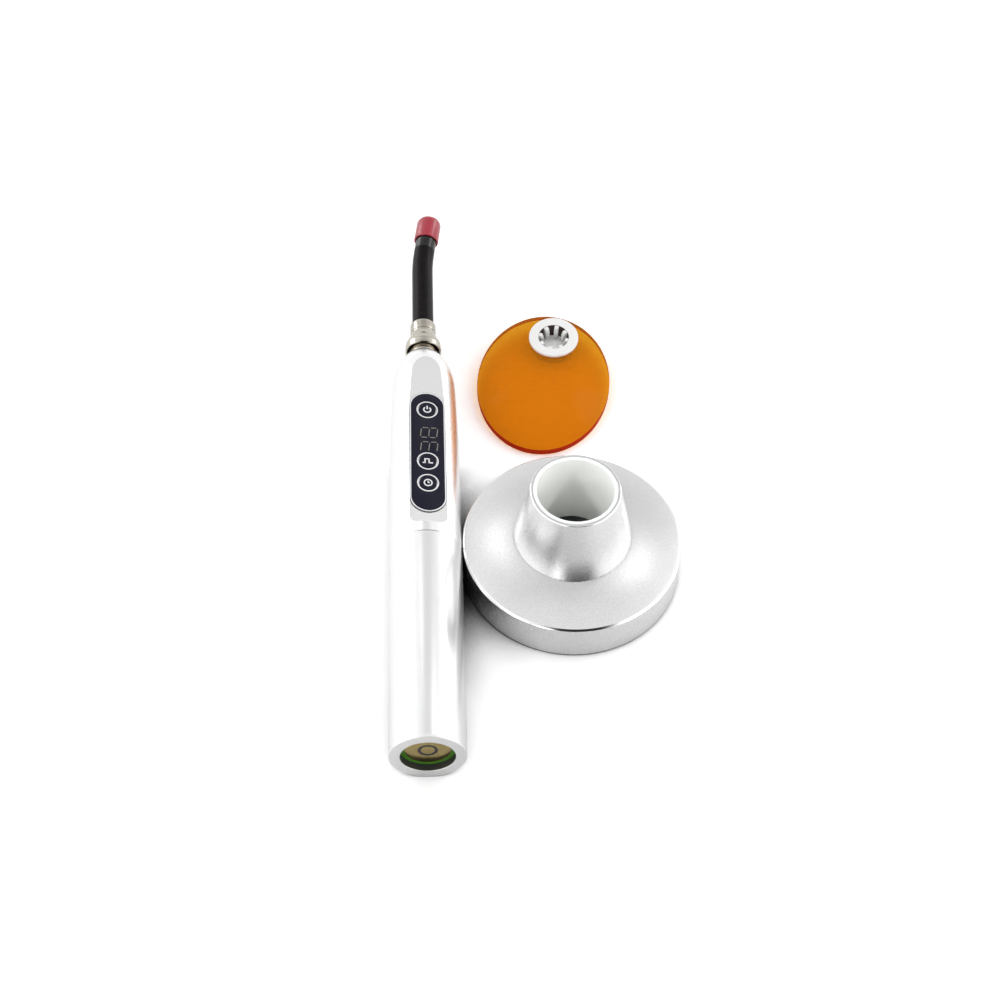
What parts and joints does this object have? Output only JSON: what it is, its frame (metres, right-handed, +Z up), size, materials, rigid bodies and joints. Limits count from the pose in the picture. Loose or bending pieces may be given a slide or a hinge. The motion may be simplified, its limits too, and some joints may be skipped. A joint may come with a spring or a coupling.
{
  "type": "dental curing light",
  "caption": "Pen-shaped cordless dental curing light lying beside its round charging base with a conical socket, and an oval orange eye shield with a white hub.",
  "frame": {"origin": "middle of the charging base's underside, on the table", "axes": "+Z up along the socket; +Y away from the viewer, nearly along the wand from its rear end to its tip; +X to the viewer's right"},
  "size_m": [0.1105, 0.2581, 0.0459],
  "materials": {
    "satin_aluminium": "bead-blasted and clear anodised, satin",
    "grey_aluminium": "coarse satin, grainy",
    "nickel": "polished nickel plate",
    "steel": "zinc-plated steel",
    "gold": "gold-plated contact",
    "green_board": "solder-masked glass-fibre board",
    "black_plastic": "moulded, fine texture",
    "white_plastic": "moulded, glossy",
    "grey_plastic": "moulded",
    "navy_film": "printed film, glossy",
    "key_navy": "printed, glossy",
    "cell_wrap": "shrink wrap",
    "display_dark": "tinted display face",
    "clear_glass": "polished",
    "guide_black": "glossy black sheath",
    "cap_red": "soft vinyl, glossy",
    "orange_shield": "translucent orange acrylic, polished",
    "rubber_black": "matt"
  },
  "bodies": {
    "base": {"base_shell": "satin_aluminium", "tower_cone": "satin_aluminium", "tower_nut": "steel", "socket_liner": "white_plastic", "contact_block": "black_plastic", "pin_barrels": "gold", "charge_board": "green_board", "socket_clip": "steel", "bottom_plate": "black_plastic", "base_screws": "steel", "anti_slip_pad": "rubber_black", "ballast_ring": "steel", "jack_board": "green_board", "dc_jack": "black_plastic", "jack_pin": "nickel"},
    "charge_pin_centre": {"charge_pin_centre": "gold"},
    "charge_pin_left": {"charge_pin_left": "gold"},
    "charge_pin_right": {"charge_pin_right": "gold"},
    "wand": {"battery_tube": "satin_aluminium", "end_ring": "grey_aluminium", "contact_board": "green_board", "contact_pad_ring": "gold", "contact_pad_insulator": "black_plastic", "contact_pad_centre": "gold", "board_retainer": "black_plastic", "battery_spring": "steel", "battery_sleeve": "grey_plastic", "battery_cell": "cell_wrap", "front_contact": "gold", "contact_disc": "black_plastic", "joint_ring": "grey_aluminium", "front_housing": "satin_aluminium", "keypad_overlay": "navy_film", "tact_switches": "black_plastic", "keypad_board": "green_board", "keypad_screws": "steel", "display_module": "display_dark", "board_headers": "black_plastic", "main_board": "green_board", "heat_sink": "grey_aluminium", "led_board": "white_plastic", "led_emitter": "clear_glass", "lens_barrel": "black_plastic", "collimator_lens": "clear_glass", "neck": "nickel"},
    "key_power": {"key_power": "key_navy"},
    "key_mode": {"key_mode": "key_navy"},
    "key_timer": {"key_timer": "key_navy"},
    "grip_ring": {"grip_ring": "rubber_black"},
    "light_guide": {"guide_ferrule": "nickel", "guide_sheath": "guide_black", "guide_core": "clear_glass"},
    "tip_cap": {"tip_cap": "cap_red"},
    "shield": {"shield_disc": "orange_shield", "shield_hub": "white_plastic", "hub_lock_ring": "white_plastic"}
  },
  "joints": [
    {"name": "wand_lift", "type": "slide", "parent": "base", "child": "wand", "axis": [0, 0, 1], "range_m": [0, 0.08]},
    {"name": "shield_lift", "type": "slide", "parent": "base", "child": "shield", "axis": [0, 0, 1], "range_m": [0, 0.06]},
    {"name": "key_power_press", "type": "slide", "parent": "wand", "child": "key_power", "axis": [-0.1217, -0.0062, -0.9925], "range_m": [0, 0.0003], "stiffness_N_per_m": 3000, "springref_m": -0.0001},
    {"name": "key_mode_press", "type": "slide", "parent": "wand", "child": "key_mode", "axis": [-0.1217, -0.0062, -0.9925], "range_m": [0, 0.0003], "stiffness_N_per_m": 3000, "springref_m": -0.0001},
    {"name": "key_timer_press", "type": "slide", "parent": "wand", "child": "key_timer", "axis": [-0.1217, -0.0062, -0.9925], "range_m": [0, 0.0003], "stiffness_N_per_m": 3000, "springref_m": -0.0001},
    {"name": "charge_pin_centre_press", "type": "slide", "parent": "base", "child": "charge_pin_centre", "axis": [0, 0, -1], "range_m": [0, 0.0012], "stiffness_N_per_m": 500, "springref_m": -0.0002},
    {"name": "charge_pin_left_press", "type": "slide", "parent": "base", "child": "charge_pin_left", "axis": [0, 0, -1], "range_m": [0, 0.0012], "stiffness_N_per_m": 500, "springref_m": -0.0002},
    {"name": "charge_pin_right_press", "type": "slide", "parent": "base", "child": "charge_pin_right", "axis": [0, 0, -1], "range_m": [0, 0.0012], "stiffness_N_per_m": 500, "springref_m": -0.0002},
    {"name": "guide_pull", "type": "slide", "parent": "wand", "child": "grip_ring", "axis": [-0.0506, 0.9987, 0], "range_m": [0, 0.022]},
    {"name": "guide_spin", "type": "hinge", "parent": "grip_ring", "child": "light_guide", "pos_m": [-0.05893, 0.09494, 0.0135], "axis": [-0.0506, 0.9987, 0], "continuous": true},
    {"name": "cap_pull", "type": "slide", "parent": "light_guide", "child": "tip_cap", "axis": [0.094, 0.9908, 0.0971], "range_m": [0, 0.018]}
  ]
}
